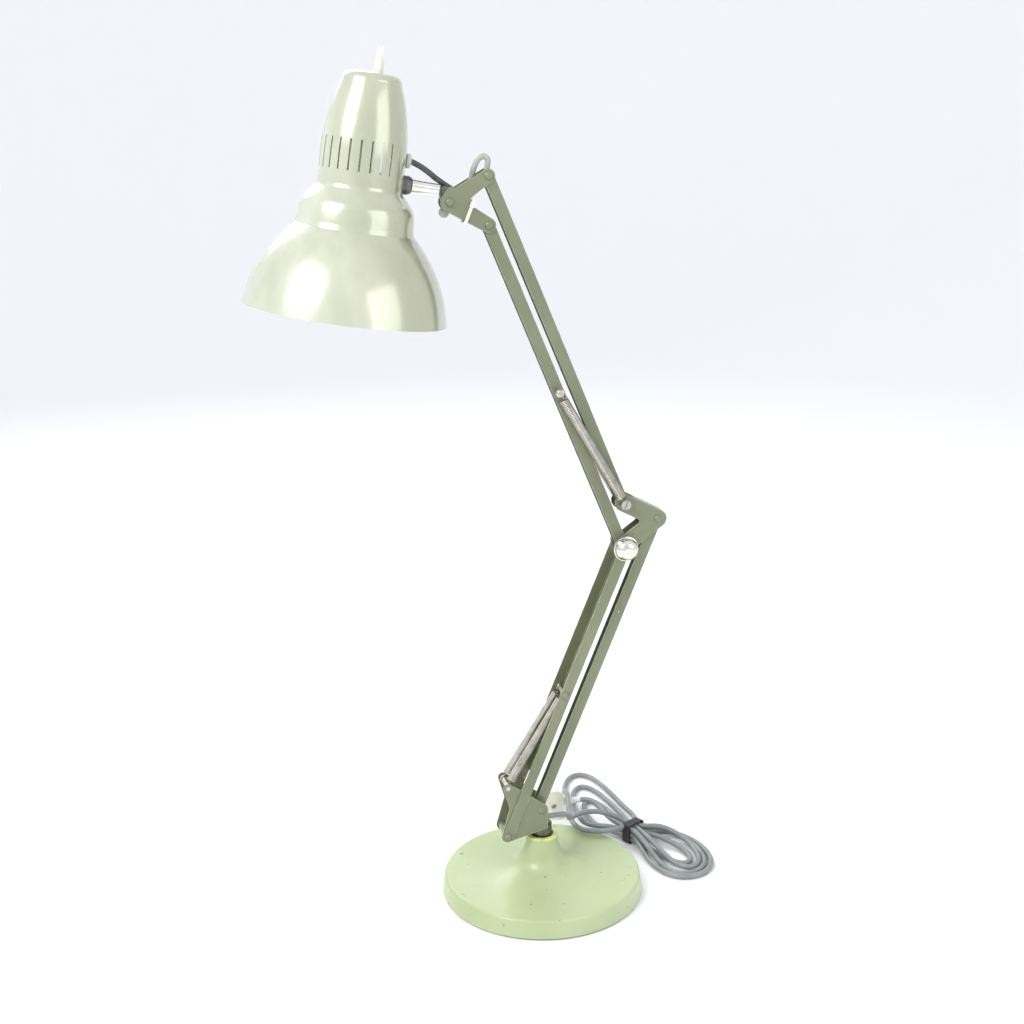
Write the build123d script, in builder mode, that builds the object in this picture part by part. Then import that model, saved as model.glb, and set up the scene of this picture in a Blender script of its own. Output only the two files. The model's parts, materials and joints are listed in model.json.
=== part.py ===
"""Architect desk lamp: cast base, sprung parallelogram arms, spun shade. Millimetres, +Z up.

The origin is on the underside of the base at the swivel axis. The shade is towards -X, and +Y is
the far side. Every arm moves in the plane Y = 0, so a pivot is written as (x, z).
"""
from build123d import *
from math import cos, hypot, pi, radians, sin, tan
import os

os.makedirs("parts", exist_ok=True)

# ---- driving sizes -------------------------------------------------------------------------
BASE_RADIUS = 117.5
BASE_EDGE_HEIGHT = 23.0
BOSS_RADIUS = 18.4
BOSS_TOP = 71.0
SPIGOT_RADIUS = 8.0
LOWER_LENGTH = 365.0          # pivot to pivot
LOWER_LEAN = 22.0             # degrees back from upright, at rest
UPPER_LENGTH = 385.0
UPPER_LEAN = 22.5             # degrees forward from upright, at rest
BAR_DEPTH = 12.5              # the bars' size in the plane of the arms
LINK_DEPTH = 12.0
BAR_WALL = 1.0
ARM_HALF = 18.0               # half width of the wide lower channel
ARM_WALL = 1.2
UPPER_HALF = 6.5              # half width of the upper channels
PLATE = 1.2                   # elbow and head bracket sheet
BRACKET_SHEET = 1.6
CORD_RADIUS = 3.2
HEAD_CORD_RADIUS = 3.0
PIN = 2.5                     # radius of every small pivot
RUN = 0.05                    # radial running clearance of a pivot
GAP = 0.2                     # axial clearance beside a moving wall
SPRING_RADIUS = 5.2
WIRE_RADIUS = 0.8
SHADE_RADIUS = 106.0
SHADE_WALL = 1.0
SHADE_TILT = 9.0              # degrees that the shade's top leans back at rest
BARREL_RADIUS = 43.3
TUBE_REACH = 85.0             # shade axis to the end of its tube
SLOT_COUNT = 18
SLOT_PITCH = 14.55
SLOT_HEIGHT = 158.75           # middle of the slots above the shade's rim
TIE_WALL = 1.2

# ---- pivots, as (x, z) ---------------------------------------------------------------------
BRACKET_FLOOR = BOSS_TOP + 13.0


def shifted(point, dx, dz):
    return (point[0] + dx, point[1] + dz)


def leaning(point, length, lean):
    return shifted(point, length * sin(radians(lean)), length * cos(radians(lean)))


LINK_STEP = (40.0, 29.0)
P1 = (-44.0, BRACKET_FLOOR - 5.0)
P2 = shifted(P1, *LINK_STEP)
S = shifted(P1, 1.0, 60.5)
C = leaning(P1, LOWER_LENGTH, LOWER_LEAN)
B = shifted(C, *LINK_STEP)
A = shifted(C, 0.0, 50.0)
H1 = leaning(C, UPPER_LENGTH, -UPPER_LEAN)
H2 = shifted(H1, 0.0, 50.0)
H3 = shifted(H1, -40.5, 24.0)
T = leaning(P1, 182.0, LOWER_LEAN)
T2 = leaning(C, UPPER_LENGTH / 2, -UPPER_LEAN)

LINK_HALF = CORD_RADIUS + 2.0
PLATE_IN = UPPER_HALF + 0.6
PLATE_OUT = PLATE_IN + PLATE
ARM_IN = ARM_HALF - ARM_WALL
BRACKET_OUT = ARM_IN - 0.3
BRACKET_IN = BRACKET_OUT - BRACKET_SHEET


# ---- placing and shaping helpers; they touch no open builder -----------------------------------
def side(y=0.0):
    """Sketch plane facing the near side: its x is X and its y is Z."""
    return Plane(origin=(0, y, 0), x_dir=(1, 0, 0), z_dir=(0, -1, 0))


def along(start, end, y=0.0):
    """The same, with x from start to end and y towards the arm's front."""
    return Plane(origin=(start[0], y, start[1]), x_dir=(end[0] - start[0], 0, end[1] - start[1]), z_dir=(0, -1, 0))


def distance(a, b):
    return hypot(b[0] - a[0], b[1] - a[1])


def at(point, y=0.0):
    return (point[0], y, point[1])


def hull(*discs):
    """Convex outline round discs (x, z, radius)."""
    rings = [Edge.make_circle(r, Plane(origin=(x, z, 0))) for x, z, r in discs]
    return Face(Wire.make_convex_hull(rings))


def disc(point, radius):
    return (point[0], point[1], radius)


def rod(point, y0, y1, radius):
    """Round bar along Y."""
    low, high = min(y0, y1), max(y0, y1)
    return Solid.make_cylinder(radius, high - low, Plane(origin=at(point, low), z_dir=(0, 1, 0)))


def dome(point, y, out, radius, height):
    """Domed rivet head that stands on the face at y and grows towards out, which is +1 or -1."""
    def place(r, h):
        return Vector(point[0] + r, y + out * h, point[1])
    edges = [
        Edge.make_line(place(0, 0), place(radius, 0)),
        Edge.make_line(place(radius, 0), place(radius, 0.2 * height)),
        Edge.make_three_point_arc(place(radius, 0.2 * height), place(0.78 * radius, 0.76 * height),
                                  place(0.25 * radius, height)),
        Edge.make_line(place(0.25 * radius, height), place(0, height)),
        Edge.make_line(place(0, height), place(0, 0)),
    ]
    return Solid.revolve(Face(Wire(edges)), 360, Axis(at(point), (0, 1, 0)))


def corner_radii(route):
    """The largest arcs that fit: 0.45 of the shorter run over the tangent of half the turn."""
    radii = []
    for before, here, after in zip(route, route[1:], route[2:]):
        first, second = Vector(here) - Vector(before), Vector(after) - Vector(here)
        half_turn = radians(first.get_angle(second)) / 2
        radii.append(0.45 * min(first.length, second.length) / tan(half_turn))
    return radii


def report_tube(name, solid, line, radius, route):
    length = sum(edge.length for edge in line.edges())
    share = solid.volume / (pi * radius ** 2 * length)
    print(name, "length", round(length, 1), "volume over section x length", round(share, 4),
          "radii in diameters", [round(r / (2 * radius), 1) for r in corner_radii(route)])


# ---- base ------------------------------------------------------------------------------------
PAD_THICK = 3.0
PAD_MIDDLE = 1.5
CEILING = 13.0
FOOT_IN = BASE_RADIUS - 29.5
FOOT_OUT = BASE_RADIUS - 10.5
BUSH_BORE = SPIGOT_RADIUS + RUN
BUSH_OUT = SPIGOT_RADIUS + 5.5
BUSH_LOW = 30.0
WASHER_LOW = BOSS_TOP - 5.0
WASHER_TOP = WASHER_LOW + 1.5
SHOULDER = BOSS_TOP - 3.4
COLLAR_RADIUS = 11.5
THREAD_LOW = 4.0

with BuildPart() as base_casting:
    with BuildSketch(Plane.XZ):
        with BuildLine():
            Polyline((SPIGOT_RADIUS + 1, BUSH_LOW), (SPIGOT_RADIUS + 1, CEILING), (FOOT_IN, CEILING),
                     (FOOT_IN, PAD_THICK), (FOOT_OUT, PAD_THICK), (FOOT_OUT, 1.5),
                     (BASE_RADIUS - 1, 1.5), (BASE_RADIUS, 2.5), (BASE_RADIUS - 2.5, BASE_EDGE_HEIGHT - 3))
            ThreePointArc((BASE_RADIUS - 2.5, BASE_EDGE_HEIGHT - 3), (BASE_RADIUS - 3.6, BASE_EDGE_HEIGHT - 1),
                          (BASE_RADIUS - 6, BASE_EDGE_HEIGHT))
            Spline((BASE_RADIUS - 6, BASE_EDGE_HEIGHT), (88, BASE_EDGE_HEIGHT + 1.3),
                   (66, BASE_EDGE_HEIGHT + 3.2), (44, BASE_EDGE_HEIGHT + 7.6), (30, BASE_EDGE_HEIGHT + 14.8),
                   (BOSS_RADIUS + 4.1, BASE_EDGE_HEIGHT + 26), (BOSS_RADIUS + 1.1, BOSS_TOP - 11),
                   (BOSS_RADIUS + 0.1, BOSS_TOP - 2), tangents=((-1, 0.04), (0, 1)))
            ThreePointArc((BOSS_RADIUS + 0.1, BOSS_TOP - 2), (BOSS_RADIUS - 0.5, BOSS_TOP - 0.6),
                          (BOSS_RADIUS - 1.9, BOSS_TOP))
            Polyline((BOSS_RADIUS - 1.9, BOSS_TOP), (BUSH_OUT, BOSS_TOP), (BUSH_OUT, BUSH_LOW),
                     (SPIGOT_RADIUS + 1, BUSH_LOW))
        make_face()
    revolve(axis=Axis.Z)
base_casting.part.label = "base_casting"
export_step(base_casting.part, "parts/base_casting.step")

with BuildPart() as base_pad:
    with BuildSketch():
        Circle(FOOT_OUT - 0.3)
    extrude(amount=PAD_THICK)
    with BuildSketch(Plane.XY.offset(PAD_MIDDLE)):
        Circle(FOOT_IN + 0.3)
    extrude(amount=PAD_THICK - PAD_MIDDLE, mode=Mode.SUBTRACT)
base_pad.part.label = "base_pad"
export_step(base_pad.part, "parts/base_pad.step")

with BuildPart() as swivel_bush:
    with BuildSketch(Plane.XY.offset(BUSH_LOW)):
        Circle(BUSH_OUT)
        Circle(BUSH_BORE, mode=Mode.SUBTRACT)
    extrude(amount=WASHER_LOW - BUSH_LOW)
swivel_bush.part.label = "swivel_bush"
export_step(swivel_bush.part, "parts/swivel_bush.step")

with BuildPart() as swivel_washer:
    with BuildSketch(Plane.XY.offset(WASHER_LOW)):
        Circle(BUSH_OUT - 1)
        Circle(BUSH_BORE + 0.3, mode=Mode.SUBTRACT)
    extrude(amount=WASHER_TOP - WASHER_LOW)
swivel_washer.part.label = "swivel_washer"
export_step(swivel_washer.part, "parts/swivel_washer.step")

# ---- turret: spigot, bracket and what is pinned to it ---------------------------------------------
RIVET_NECK = 5.0
with BuildPart() as swivel_spigot:
    with BuildSketch(Plane.XZ):
        with BuildLine():
            Polyline((0, THREAD_LOW), (SPIGOT_RADIUS, THREAD_LOW), (SPIGOT_RADIUS, SHOULDER),
                     (COLLAR_RADIUS, SHOULDER), (COLLAR_RADIUS, BRACKET_FLOOR),
                     (RIVET_NECK, BRACKET_FLOOR), (RIVET_NECK, BRACKET_FLOOR + BRACKET_SHEET),
                     (RIVET_NECK + 1, BRACKET_FLOOR + BRACKET_SHEET),
                     (RIVET_NECK, BRACKET_FLOOR + BRACKET_SHEET + 0.8),
                     (0, BRACKET_FLOOR + BRACKET_SHEET + 1), (0, THREAD_LOW))
        make_face()
    revolve(axis=Axis.Z)
swivel_spigot.part.label = "swivel_spigot"
export_step(swivel_spigot.part, "parts/swivel_spigot.step")

with BuildPart() as swivel_nut:
    with BuildSketch(Plane.XY.offset(THREAD_LOW + 1)):
        RegularPolygon(radius=12.0, side_count=6, major_radius=False)
        Circle(SPIGOT_RADIUS, mode=Mode.SUBTRACT)
    extrude(amount=6.2)
    with BuildSketch(Plane.XY.offset(THREAD_LOW + 7.2)):
        Circle(15.0)
        Circle(SPIGOT_RADIUS, mode=Mode.SUBTRACT)
    extrude(amount=CEILING - GAP - THREAD_LOW - 7.2)
swivel_nut.part.label = "swivel_nut"
export_step(swivel_nut.part, "parts/swivel_nut.step")

HORN_DISC = 5.5
HORN_ROOT = shifted(P1, 9.0, 35.0)
FLOOR_X = (P1[0] + 14.5, 0.0)
with BuildPart() as base_bracket:
    for low in (-BRACKET_OUT, BRACKET_IN):
        with BuildSketch(side(low + BRACKET_SHEET)):
            add(hull(disc(S, HORN_DISC), disc(HORN_ROOT, 6), disc(P2, 8)))
            add(hull(disc(HORN_ROOT, 6), disc(P1, 7), (FLOOR_X[0], BRACKET_FLOOR + 3.5, 3.5),
                     (FLOOR_X[1], BRACKET_FLOOR + 3.5, 3.5), disc(P2, 8)))
            with Locations(S, P2):
                Circle(PIN, mode=Mode.SUBTRACT)
            with Locations(P1):
                Circle(3.0, mode=Mode.SUBTRACT)
        extrude(amount=BRACKET_SHEET)
    with BuildSketch(Plane.XY.offset(BRACKET_FLOOR)):
        with Locations(((FLOOR_X[0] + FLOOR_X[1]) / 2, 0)):
            Rectangle(FLOOR_X[1] - FLOOR_X[0], 2 * BRACKET_IN + 0.4)
        Circle(RIVET_NECK, mode=Mode.SUBTRACT)
    extrude(amount=BRACKET_SHEET)
base_bracket.part.label = "base_bracket"
export_step(base_bracket.part, "parts/base_bracket.step")

ARM_PIN = 3.0
HEAD_RADIUS = 4.5
HEAD_HEIGHT = 2.6
with BuildPart() as lower_arm_pin:
    add(rod(P1, -BRACKET_IN, BRACKET_IN, 5.0))
    add(rod(P1, -ARM_HALF - GAP, ARM_HALF + GAP, ARM_PIN))
    for out in (-1, 1):
        add(dome(P1, out * (ARM_HALF + GAP), out, HEAD_RADIUS, HEAD_HEIGHT))
lower_arm_pin.part.label = "lower_arm_pin"
export_step(lower_arm_pin.part, "parts/lower_arm_pin.step")


def stub(point, out, wall_in, wall_out, plate_in, plate_out):
    """Rivet of one side, so that the flex passes between the pair: flange, shank and spacer."""
    pieces = [rod(point, out * (wall_in - 0.6), out * (wall_in - RUN), PIN + 1),
              rod(point, out * (wall_in - RUN), out * plate_out, PIN),
              rod(point, out * (wall_out + 0.1), out * plate_in, PIN + 1.5)]
    return pieces[0].fuse(*pieces[1:])


with BuildPart() as lower_link_pins:
    for out in (-1, 1):
        add(stub(P2, out, LINK_HALF - BAR_WALL, LINK_HALF, BRACKET_IN, BRACKET_OUT))
        add(dome(P2, out * BRACKET_OUT, out, HEAD_RADIUS, HEAD_HEIGHT))
lower_link_pins.part.label = "lower_link_pins"
export_step(lower_link_pins.part, "parts/lower_link_pins.step")

with BuildPart() as lower_spring_pin:
    add(rod(S, -BRACKET_OUT, BRACKET_OUT, PIN))
lower_spring_pin.part.label = "lower_spring_pin"
export_step(lower_spring_pin.part, "parts/lower_spring_pin.step")

CLIP_AXIS = BRACKET_FLOOR + 7.0
with BuildPart() as cord_clip:
    with BuildSketch(Plane.YZ.offset(-2.5)):
        with BuildLine():
            Polyline((-8.5, BRACKET_FLOOR + BRACKET_SHEET), (8.5, BRACKET_FLOOR + BRACKET_SHEET),
                     (8.5, CLIP_AXIS), (5.0, CLIP_AXIS + 4.6), (-5.0, CLIP_AXIS + 4.6),
                     (-8.5, CLIP_AXIS), (-8.5, BRACKET_FLOOR + BRACKET_SHEET))
        make_face()
        with Locations((0, CLIP_AXIS)):
            Circle(CORD_RADIUS + RUN, mode=Mode.SUBTRACT)
    extrude(amount=6.0)
    add(Solid.make_cylinder(RIVET_NECK + 1.2, 3.0, Plane.XY.offset(BRACKET_FLOOR)), mode=Mode.SUBTRACT)
cord_clip.part.label = "cord_clip"
export_step(cord_clip.part, "parts/cord_clip.step")

# the flex from the link's pivot down to the clip
DROP_ROUTE = [(P2[0] - 3.6, 0, P2[1] - 3.6), (P2[0] - 6.5, 0, P2[1] - 7.5), (P2[0] - 5.0, 0, CLIP_AXIS + 1.5),
              (P2[0] + 0.4, 0, CLIP_AXIS), (2.9, 0, CLIP_AXIS)]

# ---- bars ---------------------------------------------------------------------------------------
WEB_START = 74.0
with BuildPart() as lower_arm_channel:
    with BuildSketch(along(P1, C, ARM_HALF)):
        with Locations((LOWER_LENGTH / 2, 0)):
            SlotCenterToCenter(LOWER_LENGTH, BAR_DEPTH)
    extrude(amount=2 * ARM_HALF)
    with BuildSketch(along(P1, C, ARM_IN)):
        with Locations((LOWER_LENGTH / 2, 0)):
            Rectangle(LOWER_LENGTH + 2 * BAR_DEPTH, 2 * BAR_DEPTH)
    extrude(amount=2 * ARM_IN, mode=Mode.SUBTRACT)
    with BuildSketch(along(P1, C, ARM_IN + 0.2)):
        with Locations(((WEB_START + LOWER_LENGTH - 18) / 2, (ARM_WALL - BAR_DEPTH) / 2)):
            Rectangle(LOWER_LENGTH - 18 - WEB_START, ARM_WALL)
    extrude(amount=2 * ARM_IN + 0.4)
    add(rod(P1, -ARM_HALF, ARM_HALF, ARM_PIN + RUN), mode=Mode.SUBTRACT)
    add(rod(T, -ARM_HALF, ARM_HALF, PIN), mode=Mode.SUBTRACT)
    add(rod(C, -ARM_HALF, ARM_HALF, 4.0), mode=Mode.SUBTRACT)
lower_arm_channel.part.label = "lower_arm_channel"
export_step(lower_arm_channel.part, "parts/lower_arm_channel.step")


def narrow_channel(start, end, depth, half, holes):
    """Folded channel, open at the front, whose back stops short of both pivots."""
    length = distance(start, end)
    plane = along(start, end)
    outline = plane.offset(-half).location * hull((0, 0, depth / 2), (length, 0, depth / 2))
    body = Solid.extrude(outline, Vector(0, -2 * half, 0))
    inside = plane.location * Solid.make_box(length + 2 * depth, 2 * depth, 2 * (half - BAR_WALL),
                                             Plane(origin=(-depth, -depth, BAR_WALL - half)))
    web = plane.location * Solid.make_box(length - 2 * depth, BAR_WALL, 2 * half - BAR_WALL,
                                          Plane(origin=(depth, -depth / 2, BAR_WALL / 2 - half)))
    body = body.cut(inside).fuse(web)
    return body.cut(*[rod(point, -half - 1, half + 1, radius) for point, radius in holes]).clean()


ELBOW_BOLT = 4.0
with BuildPart() as lower_link_bar:
    add(narrow_channel(P2, B, LINK_DEPTH, LINK_HALF, [(P2, PIN + RUN), (B, PIN + RUN)]))
lower_link_bar.part.label = "lower_link_bar"
export_step(lower_link_bar.part, "parts/lower_link_bar.step")

with BuildPart() as upper_arm_bar:
    add(narrow_channel(C, H1, BAR_DEPTH, UPPER_HALF,
                       [(C, ELBOW_BOLT + RUN), (H1, PIN + RUN), (T2, PIN)]))
upper_arm_bar.part.label = "upper_arm_bar"
export_step(upper_arm_bar.part, "parts/upper_arm_bar.step")

with BuildPart() as upper_link_bar:
    add(narrow_channel(A, H2, LINK_DEPTH, UPPER_HALF, [(A, PIN + RUN), (H2, PIN + RUN)]))
upper_link_bar.part.label = "upper_link_bar"
export_step(upper_link_bar.part, "parts/upper_link_bar.step")


def straight_flex(start, end):
    """Flex between two pivots, with a round end on each pivot's axis."""
    line = Vector(*at(end)) - Vector(*at(start))
    body = Solid.make_cylinder(CORD_RADIUS, line.length, Plane(origin=at(start), z_dir=line))
    balls = [Solid.make_sphere(CORD_RADIUS, Plane(origin=at(p)), -90, 90, 360) for p in (start, end)]
    return body.fuse(*balls)


with BuildPart() as cord_in_lower_link:
    add(straight_flex(P2, B))
cord_in_lower_link.part.label = "cord_in_lower_link"
export_step(cord_in_lower_link.part, "parts/cord_in_lower_link.step")

with BuildPart() as cord_in_upper_link:
    add(straight_flex(A, H2))
cord_in_upper_link.part.label = "cord_in_upper_link"
export_step(cord_in_upper_link.part, "parts/cord_in_upper_link.step")

with BuildPart() as cord_in_bracket:
    with BuildLine() as cord_in_bracket_line:
        FilletPolyline(*DROP_ROUTE, radius=corner_radii(DROP_ROUTE))
    with BuildSketch(Plane(origin=cord_in_bracket_line.line @ 0, z_dir=cord_in_bracket_line.line % 0)):
        Circle(CORD_RADIUS)
    sweep()
cord_in_bracket.part.label = "cord_in_bracket"
export_step(cord_in_bracket.part, "parts/cord_in_bracket.step")
report_tube("cord_in_bracket", cord_in_bracket.part, cord_in_bracket_line.line, CORD_RADIUS, DROP_ROUTE)

with BuildPart() as spring_crossbar:
    add(rod(T, -ARM_HALF, ARM_HALF, PIN))
    for out in (-1, 1):
        add(dome(T, out * ARM_HALF, out, HEAD_RADIUS, HEAD_HEIGHT))
spring_crossbar.part.label = "spring_crossbar"
export_step(spring_crossbar.part, "parts/spring_crossbar.step")

# ---- elbow ----------------------------------------------------------------------------------------
CUP_RADIUS = 14.0
KNOB_FACE = -ARM_HALF - 2.2
KNOB_DEPTH = 11.0
with BuildPart() as elbow_bolt:
    add(rod(C, KNOB_FACE - 6.0, ARM_HALF, ELBOW_BOLT))
    with BuildSketch(Plane(origin=at(C, ARM_HALF), x_dir=(1, 0, 0), z_dir=(0, 1, 0))):
        RegularPolygon(radius=6.5, side_count=6, major_radius=False)
    extrude(amount=4.5)
elbow_bolt.part.label = "elbow_bolt"
export_step(elbow_bolt.part, "parts/elbow_bolt.step")

with BuildPart() as elbow_spacers:
    for out in (-1, 1):
        add(rod(C, out * (PLATE_OUT + GAP), out * ARM_IN, ELBOW_BOLT + 3.0))
    add(rod(C, -ARM_HALF, ARM_HALF, ELBOW_BOLT), mode=Mode.SUBTRACT)
elbow_spacers.part.label = "elbow_spacers"
export_step(elbow_spacers.part, "parts/elbow_spacers.step")

with BuildPart() as elbow_cup_washer:
    with BuildSketch(Plane(origin=at(C, -ARM_HALF), x_dir=(1, 0, 0), z_dir=(0, 0, -1))):
        with BuildLine():
            Polyline((ELBOW_BOLT, 0), (CUP_RADIUS - 2, 0), (CUP_RADIUS, 2.2), (CUP_RADIUS - 0.9, 2.6),
                     (CUP_RADIUS - 2.6, 1.0), (ELBOW_BOLT, 1.0), (ELBOW_BOLT, 0))
        make_face()
    revolve(axis=Axis(at(C), (0, 1, 0)))
elbow_cup_washer.part.label = "elbow_cup_washer"
export_step(elbow_cup_washer.part, "parts/elbow_cup_washer.step")

KNOB_RADIUS = CUP_RADIUS - 3.0
with BuildPart() as elbow_knob:
    with BuildSketch(Plane(origin=at(C, -ARM_HALF - 1.2), x_dir=(1, 0, 0), z_dir=(0, 0, -1))):
        with BuildLine():
            Polyline((0, 8.2), (ELBOW_BOLT + RUN, 8.2), (ELBOW_BOLT + RUN, 0), (KNOB_RADIUS - 0.8, 0),
                     (KNOB_RADIUS, 1.6))
            ThreePointArc((KNOB_RADIUS, 1.6), (KNOB_RADIUS + 0.9, 4.4), (KNOB_RADIUS - 0.3, 7.4))
            ThreePointArc((KNOB_RADIUS - 0.3, 7.4), (KNOB_RADIUS * 0.7, KNOB_DEPTH - 0.6), (2, KNOB_DEPTH + 0.6))
            Polyline((2, KNOB_DEPTH + 0.6), (0, KNOB_DEPTH + 0.6), (0, 8.2))
        make_face()
    revolve(axis=Axis(at(C), (0, 1, 0)))
elbow_knob.part.label = "elbow_knob"
export_step(elbow_knob.part, "parts/elbow_knob.step")

LEG_DISC = 10.0
AB = distance(A, B)
with BuildPart() as elbow_bracket:
    for low in (-PLATE_OUT, PLATE_IN):
        with BuildSketch(side(low + PLATE)) as elbow_outline:
            add(hull(disc(A, LEG_DISC), disc(B, LEG_DISC)))
            add(hull(disc(B, LEG_DISC), disc(C, LEG_DISC)))
            notch = elbow_outline.vertices().sort_by_distance((A[0] + 21.5, A[1] - 22.6, 0))[0]
            fillet(notch, 3.0)
            with Locations(A, B):
                Circle(PIN, mode=Mode.SUBTRACT)
            with Locations(C):
                Circle(ELBOW_BOLT + RUN, mode=Mode.SUBTRACT)
        extrude(amount=PLATE)
    with BuildSketch(along(A, B, PLATE_IN + 0.2)):
        with Locations((AB / 2, 0)):
            SlotCenterToCenter(AB, 2 * LEG_DISC)
            SlotCenterToCenter(AB, 2 * (LEG_DISC - PLATE), mode=Mode.SUBTRACT)
        with Locations((9 + AB / 2, 4.5 + LEG_DISC / 2)):
            Rectangle(AB, LEG_DISC, mode=Mode.INTERSECT)
    extrude(amount=2 * PLATE_IN + 0.4)
elbow_bracket.part.label = "elbow_bracket"
export_step(elbow_bracket.part, "parts/elbow_bracket.step")

SPRING_Y_ELBOW = PLATE_OUT + SPRING_RADIUS + 0.4
with BuildPart() as elbow_spring_screws:
    for out in (-1, 1):
        add(stub(A, out, UPPER_HALF - BAR_WALL, UPPER_HALF, PLATE_IN, PLATE_OUT))
        add(rod(A, out * PLATE_OUT, out * (SPRING_Y_ELBOW + 1.6), PIN))
        add(rod(A, out * (SPRING_Y_ELBOW + 1.6), out * (SPRING_Y_ELBOW + 5.0), 5.6))
    slot_angle = radians(72)
    with BuildSketch(Plane(origin=at(A, -SPRING_Y_ELBOW - 5.0), x_dir=(cos(slot_angle), 0, sin(slot_angle)),
                           z_dir=(0, -1, 0))):
        Rectangle(14, 1.3)
    extrude(amount=-1.4, mode=Mode.SUBTRACT)
elbow_spring_screws.part.label = "elbow_spring_screws"
export_step(elbow_spring_screws.part, "parts/elbow_spring_screws.step")

with BuildPart() as elbow_link_rivets:
    for out in (-1, 1):
        add(stub(B, out, LINK_HALF - BAR_WALL, LINK_HALF, PLATE_IN, PLATE_OUT))
        add(dome(B, out * PLATE_OUT, out, 4.2, 2.3))
elbow_link_rivets.part.label = "elbow_link_rivets"
export_step(elbow_link_rivets.part, "parts/elbow_link_rivets.step")

with BuildPart() as cord_in_elbow:
    reach = Vector(*at(A)) - Vector(*at(B))
    add(Solid.make_cylinder(CORD_RADIUS, reach.length - 12.0,
                            Plane(origin=Vector(*at(B)) + reach.normalized() * 6.0, z_dir=reach)))
cord_in_elbow.part.label = "cord_in_elbow"
export_step(cord_in_elbow.part, "parts/cord_in_elbow.step")

with BuildPart() as upper_spring_screws:
    add(rod(T2, -15.0, 15.0, PIN))
    for out in (-1, 1):
        add(rod(T2, out * (UPPER_HALF + 0.01), out * (UPPER_HALF + 0.8), PIN + 2))
        add(dome(T2, out * 15.0, out, 4.8, 3.0))
upper_spring_screws.part.label = "upper_spring_screws"
export_step(upper_spring_screws.part, "parts/upper_spring_screws.step")


# ---- springs: a sleeve in the place of the coils, with a hook at each end ---------------------------
def spring(start, end, y_start, y_end, lead_in):
    first, last = Vector(*at(start, y_start)), Vector(*at(end, y_end))
    line = (last - first).normalized()
    length = (last - first).length
    coils = Plane(origin=first + line * lead_in, x_dir=(0, 1, 0), z_dir=line)
    sleeve = Solid.make_cylinder(SPRING_RADIUS, length - 2 * lead_in, coils)
    sleeve = sleeve.cut(Solid.make_cylinder(SPRING_RADIUS - 1.0, length - 2 * lead_in, coils))
    pieces = []
    for point, y, way in ((start, y_start, 1), (end, y_end, -1)):
        centre = Vector(*at(point, y))
        ring_plane = Plane(origin=centre, z_dir=(0, 1, 0))
        pieces.append(Solid.make_torus(PIN + WIRE_RADIUS + 0.1, WIRE_RADIUS, ring_plane))
        pieces.append(Solid.make_cylinder(WIRE_RADIUS, lead_in - PIN,
                                          Plane(origin=centre + line * way * (PIN + 1.0), z_dir=line * way)))
        cap = Plane(origin=centre + line * way * lead_in, x_dir=(0, 1, 0), z_dir=line * way)
        bridge = Solid.make_box(2 * SPRING_RADIUS - 1, 1.6, 1.6, Plane(origin=(0.5 - SPRING_RADIUS, -0.8, 0)))
        pieces.append(cap.location * bridge)
    return sleeve.fuse(*pieces)


HOOK = 8.0
with BuildPart() as lower_springs:
    for out in (-1, 1):
        add(spring(S, T, out * 11.0, out * 9.0, HOOK))
lower_springs.part.label = "lower_springs"
export_step(lower_springs.part, "parts/lower_springs.step")

with BuildPart() as upper_springs:
    for out in (-1, 1):
        add(spring(A, T2, out * SPRING_Y_ELBOW, out * 12.4, HOOK))
upper_springs.part.label = "upper_springs"
export_step(upper_springs.part, "parts/upper_springs.step")

# ---- head -----------------------------------------------------------------------------------------
CORNER = shifted(H3, 2.1, 9.8)
NOTCH = shifted(H3, 17.0, 1.0)
with BuildPart() as head_bracket:
    for low in (-PLATE_OUT, PLATE_IN):
        with BuildSketch(side(low + PLATE)) as head_outline:
            add(hull(disc(H3, 9.5), disc(H2, 7)))
            add(hull(disc(H3, 9.5), disc(H1, 7.5)))
            add(hull(disc(H3, 9.5), disc(CORNER, 6)))
            fillet(head_outline.vertices().sort_by_distance((NOTCH[0], NOTCH[1], 0))[0], 6.0)
            with Locations(H1, H2, H3):
                Circle(PIN, mode=Mode.SUBTRACT)
        extrude(amount=PLATE)
    with BuildSketch(side(PLATE_IN + 0.2)):
        with BuildLine():
            Polyline(*[shifted(H1, dx, dz) for dx, dz in ((-13.6, 31.5), (-18.7, 26.8), (-19.6, 22.6),
                                                          (-17.2, 18.6), (-18.3, 17.9), (-20.9, 22.4),
                                                          (-19.8, 27.5), (-14.4, 32.5), (-13.6, 31.5))])
        make_face()
    extrude(amount=2 * PLATE_IN + 0.4)
head_bracket.part.label = "head_bracket"
export_step(head_bracket.part, "parts/head_bracket.step")

with BuildPart() as head_rivet:
    add(rod(H1, -PLATE_OUT, PLATE_OUT, PIN))
    for out in (-1, 1):
        add(rod(H1, out * (UPPER_HALF + 0.1), out * PLATE_IN, PIN + 1.5))
        add(dome(H1, out * PLATE_OUT, out, HEAD_RADIUS, HEAD_HEIGHT))
head_rivet.part.label = "head_rivet"
export_step(head_rivet.part, "parts/head_rivet.step")

with BuildPart() as head_link_rivets:
    for out in (-1, 1):
        add(stub(H2, out, UPPER_HALF - BAR_WALL, UPPER_HALF, PLATE_IN, PLATE_OUT))
        add(dome(H2, out * PLATE_OUT, out, HEAD_RADIUS, HEAD_HEIGHT))
head_link_rivets.part.label = "head_link_rivets"
export_step(head_link_rivets.part, "parts/head_link_rivets.step")

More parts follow.
